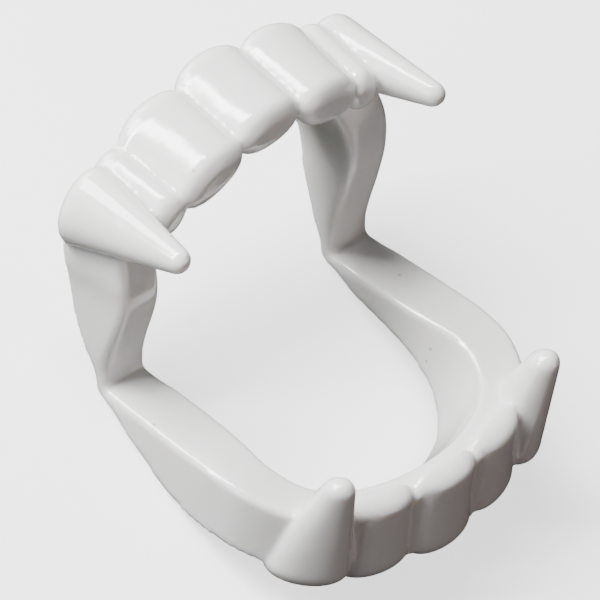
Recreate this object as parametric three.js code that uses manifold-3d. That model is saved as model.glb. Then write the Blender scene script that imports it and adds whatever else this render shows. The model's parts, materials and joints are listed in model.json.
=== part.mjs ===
// Vampire fang denture: a one-piece pair of joke teeth in glossy white plastic.
// Two horseshoe trays, each a gum channel with five or three front teeth between a pair of fangs,
// meet at a moulded fold behind the jaw on each side. Millimetres, +Z up, teeth towards -Y.

import * as THREE from "three";
import { mergeVertices } from "three/addons/utils/BufferGeometryUtils.js";
import Module from "manifold-3d";

const wasm = await Module();
wasm.setup();
const { Manifold, Mesh: SolidMesh } = wasm;

// Driving sizes
const foldRadius = 1.8; // round back of the fold, and the thickness of the bars that reach it
const foldGap = 0.3; // running clearance round the fold
const openAngle = 96; // degrees between the two bite faces as moulded
const wall = 1.5; // side walls of the gum channel
const web = 1.8; // bite floor over the gum channel
const channelOverrun = 6; // how far the channel's cut runs out past the gum edge
const channelReach = 0.86; // share of the way to the folds that the channel goes
const gumRounding = 3.2; // length of a tooth's scalloped gum end
const biteRounding = 1.9; // length of a front tooth's rounded bite end
const toothTaper = 0.1; // how much narrower a front tooth is at its bite end
const endFlat = 0.3; // how far short of a point the rounded ends of a tooth stop
const barrel = 0.95; // squareness of a tooth's section, 1 being round
const shoulder = 0.5; // squareness of a front tooth's bite end seen from the front, 1 being round
const stationsPerHalf = 22; // sections from a fold to the middle of the front
const toothSides = 20; // points round a tooth
const toothRings = 9; // levels up a tooth
const roundSides = 32; // sides of a full round
const edgeSoftness = 0.3; // how far along an edge's radius the middle of its round lies
const standReach = 4; // fold radii from the fold line beyond which the denture can stand
const weld = 1e-4; // corners closer than this are one

// One row per section, from the fold to the middle of the front. Lengths are shares of the tray's
// own sizes: out and fore of the outer edge, in and back of the inner edge, rise of the bite face,
// skirt and lip of the outer and inner gum edges, flare and splay of how far those two lean away.
const lowerTray = {
  halfWidth: 28.8,
  depth: 40.6,
  innerHalfWidth: 20.4,
  frontWidth: 4.9,
  height: 13.2,
  edgeRadius: 0.9,
  outFlare: 0.8,
  inFlare: 5.3,
  rows: [
    { out: 0.972, fore: 0.0, in: 0.941, back: 0.0, rise: 0.0, skirt: 0.136, lip: 0.136, flare: 0.0, splay: 0.0 },
    { out: 0.983, fore: 0.15, in: 0.946, back: 0.17, rise: 0.0, skirt: 0.33, lip: 0.29, flare: 0.2, splay: 0.0 },
    { out: 0.997, fore: 0.35, in: 0.956, back: 0.37, rise: 0.0, skirt: 0.61, lip: 0.42, flare: 0.4, splay: 0.02 },
    { out: 1.0, fore: 0.52, in: 0.985, back: 0.54, rise: 0.0, skirt: 0.7, lip: 0.58, flare: 0.6, splay: 0.18 },
    { out: 0.975, fore: 0.66, in: 1.0, back: 0.68, rise: -0.04, skirt: 0.73, lip: 0.76, flare: 0.8, splay: 0.5 },
    { out: 0.885, fore: 0.785, in: 0.92, back: 0.81, rise: -0.12, skirt: 0.79, lip: 0.88, flare: 1.0, splay: 0.82 },
    { out: 0.74, fore: 0.885, in: 0.765, back: 0.895, rise: -0.17, skirt: 0.92, lip: 0.95, flare: 1.0, splay: 1.0 },
    { out: 0.52, fore: 0.955, in: 0.525, back: 0.955, rise: -0.2, skirt: 0.98, lip: 0.96, flare: 1.0, splay: 1.0 },
    { out: 0.27, fore: 0.99, in: 0.27, back: 0.99, rise: -0.2, skirt: 0.98, lip: 0.96, flare: 1.0, splay: 1.0 },
    { out: 0.0, fore: 1.0, in: 0.0, back: 1.0, rise: -0.2, skirt: 0.98, lip: 0.96, flare: 1.0, splay: 1.0 },
  ],
};

const upperTray = {
  halfWidth: 28.2,
  depth: 34.0,
  innerHalfWidth: 19.9,
  frontWidth: 4.5,
  height: 11.0,
  edgeRadius: 1.5,
  outFlare: 2.0,
  inFlare: 1.8,
  rows: [
    { out: 0.99, fore: 0.0, in: 0.965, back: 0.0, rise: 0.0, skirt: 0.164, lip: 0.164, flare: 0.0, splay: 0.0 },
    { out: 0.993, fore: 0.147, in: 0.97, back: 0.183, rise: 0.03, skirt: 0.36, lip: 0.36, flare: 0.0, splay: 0.0 },
    { out: 0.995, fore: 0.29, in: 0.975, back: 0.355, rise: 0.12, skirt: 0.56, lip: 0.56, flare: 0.0, splay: 0.0 },
    { out: 0.99, fore: 0.45, in: 1.0, back: 0.51, rise: 0.19, skirt: 0.71, lip: 0.71, flare: 0.1, splay: 0.1 },
    { out: 0.99, fore: 0.6, in: 0.985, back: 0.65, rise: 0.1, skirt: 0.83, lip: 0.83, flare: 0.3, splay: 0.3 },
    { out: 0.93, fore: 0.745, in: 0.88, back: 0.79, rise: -0.1, skirt: 0.9, lip: 0.9, flare: 0.6, splay: 0.8 },
    { out: 0.79, fore: 0.865, in: 0.68, back: 0.88, rise: -0.18, skirt: 0.9, lip: 0.9, flare: 0.9, splay: 1.0 },
    { out: 0.57, fore: 0.945, in: 0.46, back: 0.94, rise: -0.18, skirt: 0.9, lip: 0.9, flare: 1.0, splay: 1.0 },
    { out: 0.29, fore: 0.985, in: 0.23, back: 0.985, rise: -0.18, skirt: 0.9, lip: 0.9, flare: 1.0, splay: 1.0 },
    { out: 0.0, fore: 1.0, in: 0.0, back: 1.0, rise: -0.18, skirt: 0.9, lip: 0.9, flare: 1.0, splay: 1.0 },
  ],
};

// Teeth of one half, middle tooth first, in shares of their tray: x, width, tipX and tip of the
// half width, forward, depth, heel and tipForward of the depth, gum and end of the height. x and
// forward place the middle of the root on the gum line, turn is how many degrees it faces sideways,
// tipX and tipForward how far its end leans, heel how far the root reaches inward, and tip the
// radius of a fang's point.
const lowerTeeth = [
  {
    x: 0, forward: 0.98, turn: 0, width: 0.465, depth: 0.084, gum: -1.136, end: -0.076,
    tipX: 0, tipForward: -0.032, heel: 0.015,
  },
  {
    x: 0.42, forward: 0.941, turn: 14, width: 0.458, depth: 0.084, gum: -1.091, end: -0.076,
    tipX: 0, tipForward: -0.032, heel: 0.015,
  },
];
const lowerFang = {
  x: 0.76, forward: 0.842, turn: 50, width: 0.472, depth: 0.108, gum: -0.985, end: 0.492,
  tipX: 0, tipForward: 0.084, tip: 0.066, heel: 0.185,
};
const upperTeeth = [
  {
    x: 0, forward: 1.041, turn: 0, width: 0.482, depth: 0.1, gum: -1.091, end: 0.291,
    tipX: 0, tipForward: -0.106,
  },
  {
    x: 0.44, forward: 0.997, turn: 14, width: 0.482, depth: 0.1, gum: -1.018, end: 0.345,
    tipX: -0.014, tipForward: -0.112,
  },
  {
    x: 0.734, forward: 0.903, turn: 36, width: 0.227, depth: 0.085, gum: -0.927, end: 0.3,
    tipX: -0.028, tipForward: -0.094,
  },
];
const upperFang = {
  x: 0.904, forward: 0.794, turn: 58, width: 0.454, depth: 0.144, gum: -0.964, end: 1.018,
  tipX: 0.039, tipForward: 0.024, tip: 0.053,
};

const radians = THREE.MathUtils.degToRad;

// A closed mesh from rings of equal length, with both ends fanned shut from their middles.
function loft(rings) {
  const count = rings[0].length;
  const positions = rings.flat();
  const triangles = [];
  for (let r = 0; r + 1 < rings.length; r += 1) {
    for (let i = 0; i < count; i += 1) {
      const a = r * count + i;
      const b = r * count + ((i + 1) % count);
      triangles.push(a, b, b + count, a, b + count, a + count);
    }
  }
  const capAt = (ring, flip) => {
    const middle = new THREE.Vector3();
    rings[ring].forEach((p) => middle.addScaledVector(p, 1 / count));
    positions.push(middle);
    for (let i = 0; i < count; i += 1) {
      const a = ring * count + i;
      const b = ring * count + ((i + 1) % count);
      triangles.push(...(flip ? [positions.length - 1, b, a] : [positions.length - 1, a, b]));
    }
  };
  capAt(0, true);
  capAt(rings.length - 1, false);
  const geometry = new THREE.BufferGeometry().setFromPoints(positions);
  geometry.setIndex(triangles);
  return geometry;
}

// A solid from a closed geometry, turned right side out where its volume comes out negative.
function solid(geometry) {
  const bare = geometry.clone();
  bare.deleteAttribute("normal");
  bare.deleteAttribute("uv");
  const merged = mergeVertices(bare, weld);
  const vertices = new Float32Array(merged.attributes.position.array);
  const index = Uint32Array.from(merged.index.array);
  let volume = 0;
  const corner = (i) => new THREE.Vector3().fromArray(vertices, 3 * index[i]);
  for (let i = 0; i < index.length; i += 3) {
    volume += corner(i).dot(corner(i + 1).cross(corner(i + 2)));
  }
  if (volume < 0) {
    for (let i = 0; i < index.length; i += 3) {
      [index[i + 1], index[i + 2]] = [index[i + 2], index[i + 1]];
    }
  }
  return new Manifold(new SolidMesh({ numProp: 3, vertProperties: vertices, triVerts: index }));
}

function toGeometry(body) {
  const mesh = body.getMesh();
  const geometry = new THREE.BufferGeometry();
  geometry.setAttribute("position", new THREE.BufferAttribute(new Float32Array(mesh.vertProperties), 3));
  geometry.setIndex(new THREE.BufferAttribute(new Uint32Array(mesh.triVerts), 1));
  geometry.computeVertexNormals();
  return geometry;
}

// A column of the section table, read smoothly at t from 0 at the fold to 1 at the middle.
// Past the middle the table repeats as its mirror image, so the front has no kink.
function column(rows, name, t, odd) {
  const last = rows.length - 1;
  const read = (i) => {
    if (i < 0) return 2 * rows[0][name] - rows[1][name];
    if (i > last) return (odd ? -1 : 1) * rows[2 * last - i][name];
    return rows[i][name];
  };
  const place = t * last;
  const i = Math.min(Math.floor(place), last - 1);
  const u = place - i;
  const [a, b, c, d] = [read(i - 1), read(i), read(i + 1), read(i + 2)];
  return 0.5 * (2 * b + (c - a) * u + (2 * a - 5 * b + 4 * c - d) * u * u + (3 * b - a - 3 * c + d) * u * u * u);
}

// Everything one section of a tray needs, at a station from -1, one fold, to 1, the other.
function sectionAt(tray, station) {
  const side = station < 0 ? -1 : 1;
  const t = 1 - Math.abs(station);
  const read = (name, odd = false) => column(tray.rows, name, t, odd);
  const outer = new THREE.Vector2(side * tray.halfWidth * read("out", true), tray.depth * read("fore"));
  const innerDepth = tray.depth - tray.frontWidth;
  const inner = new THREE.Vector2(side * tray.innerHalfWidth * read("in", true), innerDepth * read("back"));
  const across = outer.clone().sub(inner);
  const width = across.length();
  return {
    inner,
    direction: across.divideScalar(width),
    width,
    top: tray.height * read("rise"),
    outerGum: -tray.height * read("skirt"),
    innerGum: -tray.height * read("lip"),
    outFlare: tray.outFlare * read("flare"),
    inFlare: tray.inFlare * read("splay"),
  };
}

// Section points, given as distance from the inner edge and height, in the tray's own frame.
function ringAt(section, points) {
  return points.map(([across, up]) => {
    const flat = section.inner.clone().addScaledVector(section.direction, across);
    return new THREE.Vector3(flat.x, -flat.y, up);
  });
}

function outlinePoints(tray, s) {
  const r = tray.edgeRadius;
  const soft = edgeSoftness * r;
  return [
    [s.width + s.outFlare, s.outerGum],
    [s.width, s.top - r],
    [s.width - soft, s.top - soft],
    [s.width - r, s.top],
    [r, s.top],
    [soft, s.top - soft],
    [0, s.top - r],
    [-s.inFlare, s.innerGum],
  ];
}

// The gum channel runs out through the open side, so it is cut a little deeper than the skirt.
function channelPoints(s) {
  const floor = Math.min(s.top, 0) - web;
  const outward = s.outFlare / (floor - s.outerGum);
  const inward = s.inFlare / (floor - s.innerGum);
  const past = Math.min(s.outerGum, s.innerGum) - channelOverrun;
  const deep = floor - past;
  return [
    [s.width + outward * deep - wall, past],
    [s.width - wall, floor],
    [wall, floor],
    [wall - inward * deep, past],
  ];
}

function sweep(tray, reach, count, pointsOf) {
  const rings = [];
  for (let i = -count; i <= count; i += 1) {
    const section = sectionAt(tray, (reach * i) / count);
    rings.push(ringAt(section, pointsOf(section)));
  }
  return solid(loft(rings));
}

// A tooth: level rings from a scalloped gum end to a rounded bite end, leaning as it goes.
function tooth(tray, form, side) {
  const rings = [];
  const gum = tray.height * form.gum;
  const tall = tray.height * form.end - gum;
  const width = tray.halfWidth * form.width;
  const depth = tray.depth * form.depth;
  const heel = tray.depth * (form.heel ?? form.depth);
  const tip = tray.halfWidth * (form.tip ?? 0);
  const turn = radians(form.turn) * side;
  for (let r = 0; r < toothRings; r += 1) {
    const u = r / (toothRings - 1);
    const up = 0.5 - 0.5 * Math.cos(Math.PI * u);
    const taper = tip ? 1 - up * (1 - (2 * tip) / width) : 1 - toothTaper * up;
    const gumRound = Math.sqrt(1 - Math.max(0, 1 - (up * tall + endFlat) / gumRounding) ** 2);
    const endRound = Math.sqrt(1 - Math.max(0, 1 - ((1 - up) * tall + endFlat) / (tip || biteRounding)) ** 2);
    const half = 0.5 * width * taper * gumRound * (tip ? endRound : endRound ** shoulder);
    const thick = [depth, heel].map((reach) => (tip ? reach + up * (tip - reach) : reach) * gumRound * endRound);
    const centre = new THREE.Vector2(
      side * tray.halfWidth * (form.x + form.tipX * up),
      tray.depth * (form.forward + form.tipForward * up),
    );
    const ring = [];
    for (let k = 0; k < toothSides; k += 1) {
      const angle = (2 * Math.PI * k) / toothSides;
      const along = half * Math.sign(Math.cos(angle)) * Math.abs(Math.cos(angle)) ** barrel;
      const rear = Math.sin(angle) < 0 ? 1 : 0;
      const outward = thick[rear] * Math.sign(Math.sin(angle)) * Math.abs(Math.sin(angle)) ** barrel;
      const x = centre.x + along * Math.cos(turn) + outward * Math.sin(turn);
      const forward = centre.y - along * Math.sin(turn) + outward * Math.cos(turn);
      ring.push(new THREE.Vector3(x, -forward, gum + up * tall));
    }
    rings.push(ring);
  }
  return solid(loft(rings));
}

function trayBody(tray, teeth, fang) {
  let body = sweep(tray, 1, stationsPerHalf, (s) => outlinePoints(tray, s));
  for (const side of [-1, 1]) {
    for (const form of teeth.filter((f) => side > 0 || f.x > 0)) {
      body = body.add(tooth(tray, form, side));
    }
    body = body.add(tooth(tray, fang, side));
  }
  const channel = sweep(tray, channelReach, stationsPerHalf, channelPoints);
  return body.subtract(channel);
}

// The round back of the fold: a pie slice round the fold line, open towards the bite faces.
function knuckle(side, tray) {
  const shape = new THREE.Shape();
  shape.moveTo(0, 0);
  shape.lineTo(foldRadius * Math.cos(radians(openAngle)), foldRadius * Math.sin(radians(openAngle)));
  shape.absarc(0, 0, foldRadius, radians(openAngle), radians(360), false);
  shape.lineTo(0, 0);
  const inner = tray.innerHalfWidth * tray.rows[0].in;
  const outer = tray.halfWidth * tray.rows[0].out;
  const geometry = new THREE.ExtrudeGeometry(shape, {
    depth: outer - inner,
    bevelEnabled: false,
    curveSegments: roundSides / 2,
  });
  geometry.applyMatrix4(new THREE.Matrix4().makeBasis(
    new THREE.Vector3(0, -1, 0),
    new THREE.Vector3(0, 0, 1),
    new THREE.Vector3(-1, 0, 0),
  ));
  geometry.translate(side > 0 ? outer : -inner, 0, 0);
  return solid(geometry);
}

const lower = [-1, 1].reduce(
  (body, side) => body.add(knuckle(side, lowerTray)),
  trayBody(lowerTray, lowerTeeth, lowerFang),
);

const roomRadius = foldRadius + foldGap;
const foldRoom = new THREE.CylinderGeometry(roomRadius, roomRadius, 3 * upperTray.halfWidth, roundSides);
foldRoom.rotateZ(Math.PI / 2);
const upper = trayBody(upperTray, upperTeeth, upperFang).subtract(solid(foldRoom));

// The denture rocks back until the folds and the deepest point of the lower gum edge both touch.
function restTilt(geometry) {
  const p = geometry.attributes.position;
  let tilt = 0;
  for (let i = 0; i < p.count; i += 1) {
    const distance = Math.hypot(p.getY(i), p.getZ(i));
    if (distance > standReach * foldRadius) {
      tilt = Math.max(tilt, Math.atan2(-p.getZ(i), -p.getY(i)) - Math.asin(foldRadius / distance));
    }
  }
  return tilt;
}

const plastic = new THREE.MeshStandardMaterial({ color: 0xefeeea, roughness: 0.28, metalness: 0 });

const lowerGeometry = toGeometry(lower);
const tilt = restTilt(lowerGeometry);
const lowerMesh = new THREE.Mesh(lowerGeometry, plastic);
lowerMesh.name = "lower_tray";
lowerMesh.rotation.x = -tilt;

const upperMesh = new THREE.Mesh(toGeometry(upper), plastic.clone());
upperMesh.name = "upper_tray";
upperMesh.rotation.y = Math.PI;
const upperFold = new THREE.Group();
upperFold.rotation.x = -(tilt + radians(openAngle));
upperFold.add(upperMesh);

const denture = new THREE.Group();
denture.add(lowerMesh, upperFold);
denture.updateMatrixWorld(true);
const box = new THREE.Box3().setFromObject(denture, true);
denture.position.set(-(box.min.x + box.max.x) / 2, -(box.min.y + box.max.y) / 2, -box.min.z);

export default denture;
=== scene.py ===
"""Looks of the vampire fang denture: one glossy white moulding on a pale studio floor."""

import json
import logging
import math
from dataclasses import dataclass, field
from enum import Enum
from typing import Callable, Optional, Sequence

import bmesh
import bpy
from mathutils import Matrix, Vector


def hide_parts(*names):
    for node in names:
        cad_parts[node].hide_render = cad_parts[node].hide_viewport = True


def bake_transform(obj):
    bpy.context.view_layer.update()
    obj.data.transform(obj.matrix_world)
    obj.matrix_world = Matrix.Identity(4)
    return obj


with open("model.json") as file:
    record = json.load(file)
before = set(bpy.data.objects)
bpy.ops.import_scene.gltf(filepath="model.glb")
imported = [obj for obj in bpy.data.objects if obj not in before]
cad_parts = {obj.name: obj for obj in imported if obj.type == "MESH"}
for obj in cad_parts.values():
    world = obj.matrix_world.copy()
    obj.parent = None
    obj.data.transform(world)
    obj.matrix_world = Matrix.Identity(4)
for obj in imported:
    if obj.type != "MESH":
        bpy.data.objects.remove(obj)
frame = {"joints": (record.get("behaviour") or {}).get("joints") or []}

LOG = logging.getLogger("denture")
MM = 0.001
TILT = math.radians(23.41)
OPEN = math.radians(96.0)


class Jaw(Enum):
    """The two trays of the denture."""

    LOWER = "lower"
    UPPER = "upper"


class Cut(Enum):
    """How one solid acts on another."""

    JOIN = "UNION"
    CARVE = "DIFFERENCE"


@dataclass(frozen=True)
class Row:
    """One row of a tray's section table, in shares of the tray's own sizes."""

    out: float
    fore: float
    within: float
    back: float
    rise: float
    skirt: float
    lip: float
    flare: float
    splay: float


@dataclass(frozen=True)
class ToothForm:
    """One tooth in a tray's frame, in millimetres and degrees."""

    x: float
    forward: float
    turn: float
    width: float
    depth: float
    gum: float
    end: float
    lean_x: float
    lean: float
    tip: Optional[float] = None
    heel: Optional[float] = None


@dataclass(frozen=True)
class Station:
    """The sizes of a tray's section at one place along it."""

    inner: Vector
    across: Vector
    width: float
    top: float
    outer_gum: float
    inner_gum: float
    out_flare: float
    in_flare: float


def hinge_point() -> Vector:
    """Returns the fold line's middle in the row frame, in metres."""
    return Vector(frame["joints"][0]["pos_m"])


def tray_matrix(jaw: Jaw) -> Matrix:
    """Places a tray in the row frame.

    Args:
        jaw: which tray is placed.

    Returns:
        The matrix from the tray's own millimetres to metres in the row frame.
    """
    turn = Matrix.Rotation(-TILT, 4, "X")
    if jaw is Jaw.UPPER:
        turn = Matrix.Rotation(-(TILT + OPEN), 4, "X") @ Matrix.Rotation(math.pi, 4, "Y")
    return Matrix.Translation(hinge_point()) @ turn @ Matrix.Scale(MM, 4)


def new_piece(name: str, bm: bmesh.types.BMesh) -> bpy.types.Object:
    """Turns a bmesh into an object of the scene.

    Args:
        name: the object's name.
        bm: its geometry, which is freed.

    Returns:
        The new object.
    """
    mesh = bpy.data.meshes.new(name)
    bm.to_mesh(mesh)
    bm.free()
    piece = bpy.data.objects.new(name, mesh)
    bpy.context.scene.collection.objects.link(piece)
    return piece


def apply_modifiers(piece: bpy.types.Object) -> None:
    """Bakes an object's modifiers into its mesh.

    Args:
        piece: the object.
    """
    bpy.context.view_layer.update()
    graph = bpy.context.evaluated_depsgraph_get()
    mesh = bpy.data.meshes.new_from_object(piece.evaluated_get(graph))
    old = piece.data
    piece.modifiers.clear()
    piece.data = mesh
    bpy.data.meshes.remove(old)


def work(target: bpy.types.Object, tool: bpy.types.Object, cut: Cut) -> None:
    """Joins a solid to another or carves it out, and removes it.

    Args:
        target: the solid that stays.
        tool: the solid that is used up.
        cut: what the tool does.
    """
    step = target.modifiers.new("step", "BOOLEAN")
    step.operation = cut.value
    step.object = tool
    step.solver = "MANIFOLD"
    apply_modifiers(target)
    bpy.data.objects.remove(tool)


def loft(name: str, rings: Sequence[Sequence[Vector]]) -> bpy.types.Object:
    """Bridges rings of points into one closed solid.

    Args:
        name: the new object's name.
        rings: the rings in order, all with the same number of points.

    Returns:
        The new object.
    """
    bm = bmesh.new()
    last: list[bmesh.types.BMEdge] = []
    for i, ring in enumerate(rings):
        made = bmesh.ops.create_circle(bm, cap_ends=i in (0, len(rings) - 1), segments=len(ring), radius=1.0)
        for vert, place in zip(made["verts"], ring):
            vert.co = place
        around = set(made["verts"])
        edges = [e for e in {e for v in around for e in v.link_edges} if set(e.verts) <= around]
        if last:
            bmesh.ops.bridge_loops(bm, edges=last + edges)
        last = edges
    bmesh.ops.triangulate(bm, faces=[f for f in bm.faces if len(f.verts) > 4])
    bmesh.ops.recalc_face_normals(bm, faces=bm.faces[:])
    return new_piece(name, bm)


@dataclass
class Tray:
    """One horseshoe tray: a channel open to the gum side, its front teeth and its two fangs."""

    jaw: Jaw
    half_width: float
    depth: float
    inner_half_width: float
    inner_depth: float
    height: float
    edge_radius: float
    out_flare: float
    in_flare: float
    rows: tuple[Row, ...]
    teeth: tuple[ToothForm, ...]
    fang: ToothForm
    wall: float = 1.5
    web: float = 1.8
    overrun: float = 6.0
    reach: float = 0.86
    gum_rounding: float = 3.2
    bite_rounding: float = 1.9
    end_flat: float = 0.12
    taper: float = 0.1
    barrel: float = 0.95
    shoulder: float = 0.5
    stations: int = 60
    sides: int = 48
    levels: int = 28

    def column(self, name: str, t: float, odd: bool = False) -> float:
        """Reads one column of the section table smoothly.

        Args:
            name: the column's name.
            t: 0 at the fold, 1 at the middle of the front.
            odd: whether the column changes sign across the middle.

        Returns:
            The value at t.
        """
        last = len(self.rows) - 1

        def read(i: int) -> float:
            """Returns the table's value at row i, carried on past both ends."""
            if i < 0:
                return 2 * getattr(self.rows[0], name) - getattr(self.rows[1], name)
            if i > last:
                return (-1 if odd else 1) * getattr(self.rows[2 * last - i], name)
            return getattr(self.rows[i], name)

        i = min(int(t * last), last - 1)
        u = t * last - i
        a, b, c, d = (read(i + k) for k in (-1, 0, 1, 2))
        curve = (2 * a - 5 * b + 4 * c - d) * u * u + (3 * b - a - 3 * c + d) * u**3
        return 0.5 * (2 * b + (c - a) * u + curve)

    def station(self, place: float) -> Station:
        """Works out the tray's section at one place.

        Args:
            place: from -1, one fold, to 1, the other.

        Returns:
            The section's sizes.
        """
        side = -1 if place < 0 else 1
        t = 1 - abs(place)
        outer = Vector((side * self.half_width * self.column("out", t, True), self.depth * self.column("fore", t)))
        inner = Vector(
            (side * self.inner_half_width * self.column("within", t, True), self.inner_depth * self.column("back", t))
        )
        across = outer - inner
        return Station(
            inner,
            across.normalized(),
            across.length,
            self.height * self.column("rise", t),
            -self.height * self.column("skirt", t),
            -self.height * self.column("lip", t),
            self.out_flare * self.column("flare", t),
            self.in_flare * self.column("splay", t),
        )

    def bar_points(self, s: Station) -> list[tuple[float, float]]:
        """Lists the outline of the bar's section, with soft edges along the bite face.

        Args:
            s: the section's sizes.

        Returns:
            Points as distance from the inner edge and height.
        """
        r = self.edge_radius
        round_out = [
            (s.width - r + r * math.cos(a), s.top - r + r * math.sin(a))
            for a in (0.0, 0.39, 0.79, 1.18, math.pi / 2)
        ]
        round_in = [(s.width - x, z) for x, z in reversed(round_out)]
        return [(s.width + s.out_flare, s.outer_gum), *round_out, *round_in, (-s.in_flare, s.inner_gum)]

    def channel_points(self, s: Station) -> list[tuple[float, float]]:
        """Lists the outline of the gum channel, which runs out past the open side.

        Args:
            s: the section's sizes.

        Returns:
            Points as distance from the inner edge and height.
        """
        floor = min(s.top, 0.0) - self.web
        outward = s.out_flare / (floor - s.outer_gum)
        inward = s.in_flare / (floor - s.inner_gum)
        past = min(s.outer_gum, s.inner_gum) - self.overrun
        deep = floor - past
        return [
            (s.width + outward * deep - self.wall, past),
            (s.width - self.wall, floor),
            (self.wall, floor),
            (self.wall - inward * deep, past),
        ]

    def sweep(
        self, name: str, reach: float, points: Callable[[Station], list[tuple[float, float]]]
    ) -> bpy.types.Object:
        """Sweeps a section along the tray.

        Args:
            name: the new object's name.
            reach: share of the way to the folds.
            points: gives the section's outline.

        Returns:
            The new solid, in the tray's millimetres.
        """
        rings = []
        for i in range(-self.stations, self.stations + 1):
            s = self.station(reach * i / self.stations)
            ring = []
            for along, up in points(s):
                flat = s.inner + s.across * along
                ring.append(Vector((flat.x, -flat.y, up)))
            rings.append(ring)
        return loft(name, rings)

    def tooth(self, form: ToothForm, side: int) -> bpy.types.Object:
        """Builds a tooth from level rings, from its scalloped gum end to its bite end.

        Args:
            form: the tooth's sizes.
            side: 1 for the right half, -1 for the left.

        Returns:
            The new solid, in the tray's millimetres.
        """
        tall = form.end - form.gum
        turn = math.radians(form.turn) * side
        rings = []
        for r in range(self.levels):
            up = 0.5 - 0.5 * math.cos(math.pi * r / (self.levels - 1))
            taper = 1 - up * (1 - 2 * form.tip / form.width) if form.tip else 1 - self.taper * up
            gum = math.sqrt(1 - max(0.0, 1 - (up * tall + self.end_flat) / self.gum_rounding) ** 2)
            rounding = form.tip or self.bite_rounding
            end = math.sqrt(1 - max(0.0, 1 - ((1 - up) * tall + self.end_flat) / rounding) ** 2)
            half = 0.5 * form.width * taper * gum * (end if form.tip else end**self.shoulder)
            front, rear = form.depth, form.heel or form.depth
            if form.tip:
                front, rear = (depth + up * (form.tip - depth) for depth in (front, rear))
            x, forward = side * (form.x + form.lean_x * up), form.forward + form.lean * up
            ring = []
            for k in range(self.sides):
                angle = 2 * math.pi * k / self.sides
                along = half * math.copysign(abs(math.cos(angle)) ** self.barrel, math.cos(angle))
                thick = (front if k < self.sides / 2 else rear) * gum * end
                out = thick * math.copysign(abs(math.sin(angle)) ** self.barrel, math.sin(angle))
                ring.append(
                    Vector(
                        (
                            x + along * math.cos(turn) + out * math.sin(turn),
                            -(forward - along * math.sin(turn) + out * math.cos(turn)),
                            form.gum + up * tall,
                        )
                    )
                )
            rings.append(ring)
        return loft("tooth", rings)

    def build(self) -> bpy.types.Object:
        """Builds the whole tray.

        Returns:
            The tray's solid, in the row frame.
        """
        body = self.sweep(self.jaw.value, 1.0, self.bar_points)
        for side in (-1, 1):
            for form in (*self.teeth, self.fang):
                if side > 0 or form.x > 0:
                    work(body, self.tooth(form, side), Cut.JOIN)
        work(body, self.sweep("channel", self.reach, self.channel_points), Cut.CARVE)
        body.data.transform(tray_matrix(self.jaw))
        LOG.info("%s tray: %d faces", self.jaw.value, len(body.data.polygons))
        return body


@dataclass
class Fold:
    """The moulded fold at the end of each bar, where the real denture bends as it opens; it is built at one fixed
    opening.
    """

    radius: float = 2.05
    inner: float = 19.5
    outer: float = 27.8
    sides: int = 40

    def build(self, side: int) -> bpy.types.Object:
        """Builds the round back of one fold.

        Args:
            side: 1 for the right fold, -1 for the left.

        Returns:
            The fold's solid, in the row frame.
        """
        bm = bmesh.new()
        arc = 2 * math.pi - OPEN
        first = Vector((0.0, math.cos(OPEN), math.sin(OPEN))) * self.radius
        hub = bm.verts.new((0.0, 0.0, 0.0))
        rim = bm.verts.new((0.0, -first.y, first.z))
        spoke = bm.edges.new((hub, rim))
        bmesh.ops.spin(
            bm,
            geom=[spoke, hub, rim],
            cent=(0, 0, 0),
            axis=(1, 0, 0),
            angle=-arc,
            steps=self.sides,
            use_merge=False,
            use_duplicate=False,
        )
        bmesh.ops.remove_doubles(bm, verts=bm.verts[:], dist=1e-4)
        made = bmesh.ops.extrude_face_region(bm, geom=bm.faces[:])
        moved = [g for g in made["geom"] if isinstance(g, bmesh.types.BMVert)]
        bmesh.ops.translate(bm, verts=moved, vec=(self.outer - self.inner, 0, 0))
        start = self.inner if side > 0 else -self.outer
        bmesh.ops.translate(bm, verts=bm.verts[:], vec=(start, 0, 0))
        bmesh.ops.recalc_face_normals(bm, faces=bm.faces[:])
        bm.transform(tray_matrix(Jaw.LOWER))
        return new_piece("fold", bm)


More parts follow.
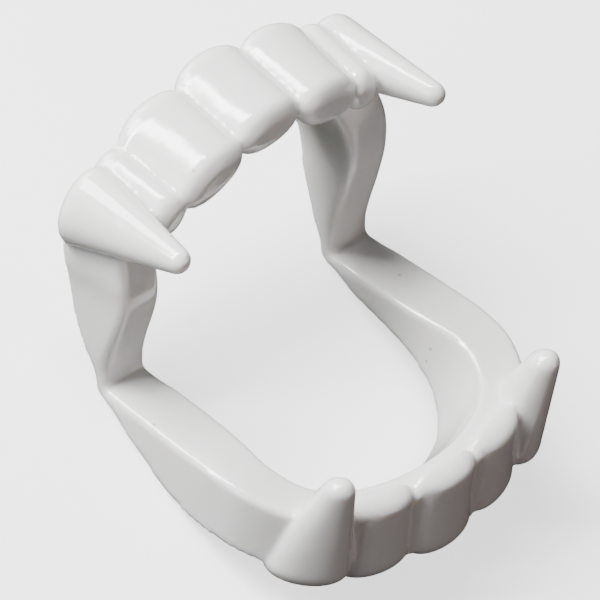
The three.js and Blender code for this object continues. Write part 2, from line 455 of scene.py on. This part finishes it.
@dataclass
class Moulding:
    """The whole denture as one soft-edged moulding with its folds, built at one fixed opening."""

    trays: tuple[Tray, ...]
    fold: Fold = field(default_factory=Fold)
    grain: float = 0.4
    smoothing: int = 2
    warp: float = math.radians(3.0)
    warp_reach: float = 18.0
    bend_reach: float = 1.8
    fillet_reach: float = 5.5
    fillet_passes: int = 30

    def set_warp(self, piece: bpy.types.Object) -> None:
        """Turns the upper tray a little in its own plane, as the cooled moulding has set.

        Args:
            piece: the upper tray, in the row frame.
        """
        hinge = hinge_point()
        forward = (tray_matrix(Jaw.UPPER).to_3x3() @ Vector((0, -1, 0))).normalized()
        for vert in piece.data.vertices:
            reach = min(max((vert.co - hinge).dot(forward) / (self.warp_reach * MM), 0.0), 1.0)
            share = reach * reach * (3 - 2 * reach)
            vert.co += forward * (vert.co.x * math.tan(self.warp) * share)

    def build(self) -> bpy.types.Object:
        """Builds the moulding and lets it stand for both trays.

        Returns:
            The finished piece.
        """
        pieces = [tray.build() for tray in self.trays]
        self.set_warp(pieces[1])
        body = pieces[0]
        for other in [pieces[1], self.fold.build(1), self.fold.build(-1)]:
            work(body, other, Cut.JOIN)
        body.name = "denture_moulding"
        body.data.transform(Matrix.Scale(1 / MM, 4))
        soften = body.modifiers.new("soften", "REMESH")
        soften.mode = "VOXEL"
        soften.voxel_size = self.grain
        apply_modifiers(body)
        even = body.modifiers.new("even", "SMOOTH")
        even.factor = 0.5
        even.iterations = self.smoothing
        apply_modifiers(body)
        self.fillet_folds(body)
        body.data.transform(Matrix.Scale(MM, 4))
        body.data.polygons.foreach_set("use_smooth", [True] * len(body.data.polygons))
        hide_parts("lower_tray", "upper_tray")
        across = self.bend_direction() * (self.bend_reach * MM)
        hinge_point() - across
        hinge_point() + across
        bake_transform(body)
        LOG.info("moulding: %d faces", len(body.data.polygons))
        return body

    def fillet_folds(self, piece: bpy.types.Object) -> None:
        """Rounds the corners where the bars run into the folds.

        Args:
            piece: the moulding, in millimetres.
        """
        hinge = hinge_point() / MM
        group = piece.vertex_groups.new(name="fold")
        for vert in piece.data.vertices:
            away = math.hypot(vert.co.y - hinge.y, vert.co.z - hinge.z)
            group.add([vert.index], min(max(2 - 2 * away / self.fillet_reach, 0.0), 1.0), "REPLACE")
        fillet = piece.modifiers.new("fillet", "SMOOTH")
        fillet.factor = 0.5
        fillet.iterations = self.fillet_passes
        fillet.vertex_group = group.name
        apply_modifiers(piece)
        piece.vertex_groups.clear()

    @staticmethod
    def bend_direction() -> Vector:
        """Returns the way from the lower bars to the upper bars, across the folds."""
        low = (tray_matrix(Jaw.LOWER).to_3x3() @ Vector((0, -1, 0))).normalized()
        high = (tray_matrix(Jaw.UPPER).to_3x3() @ Vector((0, -1, 0))).normalized()
        return (high - low).normalized()


class Sockets:
    """A node socket that takes part in plain arithmetic."""

    def __init__(self, tree: "NodeSheet", socket: bpy.types.NodeSocket) -> None:
        """Wraps one output socket of a node sheet."""
        self.tree = tree
        self.socket = socket

    def _math(self, operation: str, a: object, b: object) -> "Sockets":
        """Returns a Math node's result for two values."""
        return self.tree.node("ShaderNodeMath", {"operation": operation}, {0: a, 1: b})

    def __add__(self, other: object) -> "Sockets":
        """Returns self + other."""
        return self._math("ADD", self, other)

    def __radd__(self, other: object) -> "Sockets":
        """Returns other + self."""
        return self._math("ADD", other, self)

    def __sub__(self, other: object) -> "Sockets":
        """Returns self - other."""
        return self._math("SUBTRACT", self, other)

    def __rsub__(self, other: object) -> "Sockets":
        """Returns other - self."""
        return self._math("SUBTRACT", other, self)

    def __mul__(self, other: object) -> "Sockets":
        """Returns self * other."""
        return self._math("MULTIPLY", self, other)

    def __rmul__(self, other: object) -> "Sockets":
        """Returns other * self."""
        return self._math("MULTIPLY", other, self)


class NodeSheet:
    """The node tree of one material or of the room, built from expressions."""

    def __init__(self, holder: bpy.types.ID) -> None:
        """Starts an empty tree on that material or world."""
        holder.use_nodes = True
        self.tree = holder.node_tree
        self.tree.nodes.clear()

    @classmethod
    def material(cls, name: str) -> tuple["NodeSheet", bpy.types.Material]:
        """Returns the sheet of a new material, and the material."""
        made = bpy.data.materials.new(name)
        return cls(made), made

    def finish(self, kind: str, shader: "Sockets") -> None:
        """Adds the output node, which shows a shader as the surface."""
        output = self.tree.nodes.new(kind)
        self.tree.links.new(shader.socket, output.inputs["Surface"])

    def node(self, kind: str, settings: dict[str, object], inputs: dict[object, object], out: object = 0) -> Sockets:
        """Adds any node.

        Args:
            kind: the node's type.
            settings: its properties, with a ramp's stops under "stops".
            inputs: values or links for its sockets, by name or place.
            out: the output to return.

        Returns:
            The wrapped output socket.
        """
        made = self.tree.nodes.new(kind)
        for key, value in settings.items():
            if key == "stops":
                ramp = made.color_ramp
                for i, (place, colour) in enumerate(value):
                    stop = ramp.elements[i] if i < 2 else ramp.elements.new(place)
                    stop.position, stop.color = place, colour
            else:
                setattr(made, key, value)
        for key, value in inputs.items():
            if isinstance(value, Sockets):
                self.tree.links.new(value.socket, made.inputs[key])
            else:
                made.inputs[key].default_value = value
        return Sockets(self, made.outputs[out])


@dataclass(frozen=True)
class WhitePlastic:
    """Glossy moulded white plastic, a little milky, with specks and faint unevenness in its skin."""

    colour: tuple[float, float, float, float] = (0.87, 0.87, 0.865, 1.0)
    worn: tuple[float, float, float, float] = (0.84, 0.83, 0.8, 1.0)
    speck: tuple[float, float, float, float] = (0.5, 0.46, 0.4, 1.0)
    roughness: float = 0.11
    milk: float = 0.25
    milk_depth: float = 0.0015
    cloud_scale: float = 90.0
    cloud_gloss: float = 0.12
    fine_scale: float = 900.0
    wave_scale: float = 160.0
    speck_scale: float = 260.0
    speck_reach: float = 0.07
    speck_rarity: float = 0.72
    speck_strength: float = 0.7

    def material(self) -> bpy.types.Material:
        """Builds the material.

        Returns:
            The finished material.
        """
        sheet, made = NodeSheet.material("white_plastic")
        place = sheet.node("ShaderNodeTexCoord", {}, {}, "Object")
        clouds = sheet.node("ShaderNodeTexNoise", {}, {"Vector": place, "Scale": self.cloud_scale, "Detail": 3.0})
        fine = sheet.node("ShaderNodeTexNoise", {}, {"Vector": place, "Scale": self.fine_scale, "Detail": 2.0})
        colour = sheet.node(
            "ShaderNodeMix",
            {"data_type": "RGBA"},
            {0: clouds, 6: self.colour, 7: self.worn},
            2,
        )
        cells = {"Vector": place, "Scale": self.speck_scale}
        reach = self.cell(sheet, cells, "Distance")
        near = sheet.node("ShaderNodeMath", {"operation": "LESS_THAN"}, {0: reach, 1: self.speck_reach})
        chance = self.cell(sheet, cells, "Color")
        rare = sheet.node("ShaderNodeMath", {"operation": "GREATER_THAN"}, {0: chance, 1: self.speck_rarity})
        colour = sheet.node(
            "ShaderNodeMix",
            {"data_type": "RGBA"},
            {0: self.speck_strength * (near * rare), 6: colour, 7: self.speck},
            2,
        )
        gloss = self.roughness - 0.5 * self.cloud_gloss + self.cloud_gloss * clouds
        waves = sheet.node("ShaderNodeTexNoise", {}, {"Vector": place, "Scale": self.wave_scale, "Detail": 1.0})
        skin = 0.3 * fine + 2.0 * waves
        bump = sheet.node("ShaderNodeBump", {}, {"Strength": 0.12, "Distance": 0.0003, "Height": skin})
        shader = sheet.node(
            "ShaderNodeBsdfPrincipled",
            {},
            {
                "Base Color": colour,
                "Roughness": gloss,
                "Normal": bump,
                "IOR": 1.5,
                "Specular IOR Level": 0.9,
                "Subsurface Weight": self.milk,
                "Subsurface Scale": self.milk_depth,
                "Subsurface Radius": (1.0, 0.85, 0.6),
            },
        )
        sheet.finish("ShaderNodeOutputMaterial", shader)
        return made

    @staticmethod
    def cell(sheet: NodeSheet, inputs: dict[str, object], out: str) -> Sockets:
        """Returns one output of the cell pattern that places the specks."""
        return sheet.node("ShaderNodeTexVoronoi", {}, inputs, out)


@dataclass
class Studio:
    """The floor, the lights and the camera."""

    right: Vector = field(default_factory=lambda: Vector((0.65338, -0.61022, 0.44802)))
    up: Vector = field(default_factory=lambda: Vector((0.39562, 0.7798, 0.48517)))
    back: Vector = field(default_factory=lambda: Vector((-0.64543, -0.13975, 0.75092)))
    shift_right: float = 8.68
    shift_up: float = 1.28
    frame_width: float = 83.36
    distance: float = 1500.0
    lamp_distance: float = 0.8
    box: tuple[float, float] = (0.4, 0.4)
    warm: tuple[float, float, float] = (1.0, 0.86, 0.84)

    def toward(self, x: float, y: float, z: float) -> Vector:
        """Returns a direction given as right, up and towards the camera."""
        return (self.right * x + self.up * y + self.back * z).normalized()

    def centre(self) -> Vector:
        """Returns the point in the middle of the picture."""
        return hinge_point() + (self.right * self.shift_right + self.up * self.shift_up) * MM

    def camera(self) -> None:
        """Makes the camera at the photograph's angle."""
        data = bpy.data.cameras.new("camera")
        data.sensor_width = 36.0
        data.lens = 36.0 * self.distance / self.frame_width
        data.clip_start, data.clip_end = 0.01, 20.0
        camera = bpy.data.objects.new("camera", data)
        turn = Matrix((self.right, self.up, self.back)).transposed().to_4x4()
        camera.matrix_world = Matrix.Translation(self.centre() + self.back * (self.distance * MM)) @ turn
        bpy.context.scene.collection.objects.link(camera)
        bpy.context.scene.camera = camera

    def softbox(
        self,
        name: str,
        way: Vector,
        distance: float,
        size: tuple[float, float],
        power: float,
        tint: tuple[float, float, float] = (1.0, 1.0, 1.0),
        along: Vector = Vector((1.0, 0.0, 0.0)),
    ) -> None:
        """Hangs one softbox that faces the denture.

        Args:
            name: the light's name.
            way: the direction from the denture to the light, in the row frame.
            distance: how far off it hangs, in metres.
            size: its sides, in metres.
            power: its power in watts.
            tint: its colour.
            along: the way its first side runs, as nearly as it can.
        """
        data = bpy.data.lights.new(name, "AREA")
        data.shape = "RECTANGLE"
        data.size, data.size_y = size
        data.energy = power
        data.color = tint
        lamp = bpy.data.objects.new(name, data)
        face = way.normalized()
        side = (along - face * along.dot(face)).normalized()
        turn = Matrix((side, face.cross(side), face)).transposed().to_4x4()
        lamp.matrix_world = Matrix.Translation(self.centre() + face * distance) @ turn
        bpy.context.scene.collection.objects.link(lamp)

    def lights(self) -> None:
        """Hangs the lights and sets the room's own light, which is brighter on one side."""
        arc = Vector((0.85, 0.16, 0.64))
        self.softbox("strip", Vector((-0.42, 0.57, 0.65)), self.lamp_distance, (1.1, 0.07), 13.0, along=arc)
        self.softbox("key", Vector((-0.32, 0.78, 0.53)), self.lamp_distance, self.box, 13.0)
        self.softbox("back", Vector((0.0, 0.99, 0.14)), self.lamp_distance, self.box, 5.0)
        self.softbox("side", Vector((-0.85, 0.25, 0.45)), self.lamp_distance, self.box, 1.6)
        self.softbox("front", Vector((0.32, -0.78, 0.53)), self.lamp_distance, self.box, 0.9, self.warm)
        self.softbox("low", Vector((0.0, -0.99, 0.14)), self.lamp_distance, self.box, 0.36, self.warm)
        world = bpy.data.worlds.new("room")
        sheet = NodeSheet(world)
        way = sheet.node("ShaderNodeTexCoord", {}, {}, "Generated")
        bright = self.toward(-0.6, 0.5, 0.6)
        side = sheet.node("ShaderNodeVectorMath", {"operation": "DOT_PRODUCT"}, {0: way, 1: bright}, "Value")
        ramp = sheet.node(
            "ShaderNodeValToRGB",
            {"stops": ((0.0, (0.3, 0.26, 0.25, 1)), (0.5, (0.5, 0.48, 0.47, 1)), (1.0, (1, 1, 1, 1)))},
            {"Fac": 0.5 + 0.5 * side},
        )
        room = sheet.node("ShaderNodeBackground", {}, {"Color": ramp, "Strength": 0.04})
        sheet.finish("ShaderNodeOutputWorld", room)
        bpy.context.scene.world = world

    def floor(self) -> None:
        """Lays the pale floor."""
        bm = bmesh.new()
        bmesh.ops.create_grid(bm, x_segments=1, y_segments=1, size=1.5)
        piece = new_piece("studio_floor", bm)
        sheet, made = NodeSheet.material("floor_paper")
        shader = sheet.node(
            "ShaderNodeBsdfPrincipled",
            {},
            {
                "Base Color": (0.9, 0.9, 0.9, 1.0),
                "Roughness": 0.9,
                "Emission Color": (1.0, 1.0, 1.0, 1.0),
                "Emission Strength": 1.6,
            },
        )
        sheet.finish("ShaderNodeOutputMaterial", shader)
        piece.data.materials.append(made)
        piece.visible_diffuse = False
        piece.visible_glossy = False


def lower_tray() -> Tray:
    """Returns the lower tray's sizes."""
    return Tray(
        jaw=Jaw.LOWER,
        half_width=28.8,
        depth=40.6,
        inner_half_width=20.4,
        inner_depth=35.7,
        height=13.2,
        edge_radius=0.9,
        out_flare=0.8,
        in_flare=5.3,
        rows=(
            Row(0.972, 0.0, 0.941, 0.0, 0.0, 0.136, 0.136, 0.0, 0.0),
            Row(0.983, 0.15, 0.946, 0.17, 0.0, 0.33, 0.29, 0.2, 0.0),
            Row(0.997, 0.35, 0.956, 0.37, 0.0, 0.61, 0.42, 0.4, 0.02),
            Row(1.0, 0.52, 0.985, 0.54, 0.0, 0.7, 0.58, 0.6, 0.18),
            Row(0.975, 0.66, 1.0, 0.68, -0.04, 0.73, 0.76, 0.8, 0.5),
            Row(0.885, 0.785, 0.92, 0.81, -0.12, 0.79, 0.88, 1.0, 0.82),
            Row(0.74, 0.885, 0.765, 0.895, -0.17, 0.92, 0.95, 1.0, 1.0),
            Row(0.52, 0.955, 0.525, 0.955, -0.2, 0.98, 0.96, 1.0, 1.0),
            Row(0.27, 0.99, 0.27, 0.99, -0.2, 0.98, 0.96, 1.0, 1.0),
            Row(0.0, 1.0, 0.0, 1.0, -0.2, 0.98, 0.96, 1.0, 1.0),
        ),
        teeth=(
            ToothForm(0, 39.8, 0, 13.4, 3.4, -15.0, -1.0, 0, -1.3, heel=0.6),
            ToothForm(12.1, 38.2, 14, 13.2, 3.4, -14.4, -1.0, 0, -1.3, heel=0.6),
        ),
        fang=ToothForm(21.9, 34.2, 50, 13.6, 4.4, -13.0, 6.5, 0, 3.4, 1.9, 7.5),
    )


def upper_tray() -> Tray:
    """Returns the upper tray's sizes."""
    return Tray(
        jaw=Jaw.UPPER,
        half_width=28.2,
        depth=34.0,
        inner_half_width=19.9,
        inner_depth=29.5,
        height=11.0,
        edge_radius=1.5,
        out_flare=2.0,
        in_flare=1.8,
        rows=(
            Row(0.99, 0.0, 0.965, 0.0, 0.0, 0.164, 0.164, 0.0, 0.0),
            Row(0.993, 0.147, 0.97, 0.183, 0.03, 0.36, 0.36, 0.0, 0.0),
            Row(0.995, 0.29, 0.975, 0.355, 0.12, 0.56, 0.56, 0.0, 0.0),
            Row(0.99, 0.45, 1.0, 0.51, 0.19, 0.71, 0.71, 0.1, 0.1),
            Row(0.99, 0.6, 0.985, 0.65, 0.1, 0.83, 0.83, 0.3, 0.3),
            Row(0.93, 0.745, 0.88, 0.79, -0.1, 0.9, 0.9, 0.6, 0.8),
            Row(0.79, 0.865, 0.68, 0.88, -0.18, 0.9, 0.9, 0.9, 1.0),
            Row(0.57, 0.945, 0.46, 0.94, -0.18, 0.9, 0.9, 1.0, 1.0),
            Row(0.29, 0.985, 0.23, 0.985, -0.18, 0.9, 0.9, 1.0, 1.0),
            Row(0.0, 1.0, 0.0, 1.0, -0.18, 0.9, 0.9, 1.0, 1.0),
        ),
        teeth=(
            ToothForm(0, 35.4, 0, 13.6, 3.4, -12.0, 3.2, 0, -3.6),
            ToothForm(12.4, 33.9, 14, 13.6, 3.4, -11.2, 3.8, -0.4, -3.8),
            ToothForm(20.7, 30.7, 36, 6.4, 2.9, -10.2, 3.3, -0.8, -3.2),
        ),
        fang=ToothForm(25.5, 27.0, 58, 12.8, 4.9, -10.6, 11.2, 1.1, 0.8, 1.5),
    )


def main() -> None:
    """Builds the denture and its studio."""
    logging.basicConfig(level=logging.INFO)
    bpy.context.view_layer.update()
    moulding = Moulding((lower_tray(), upper_tray())).build()
    moulding.data.materials.clear()
    moulding.data.materials.append(WhitePlastic().material())
    studio = Studio()
    studio.camera()
    studio.lights()
    studio.floor()


if __name__ == "__main__":
    main()
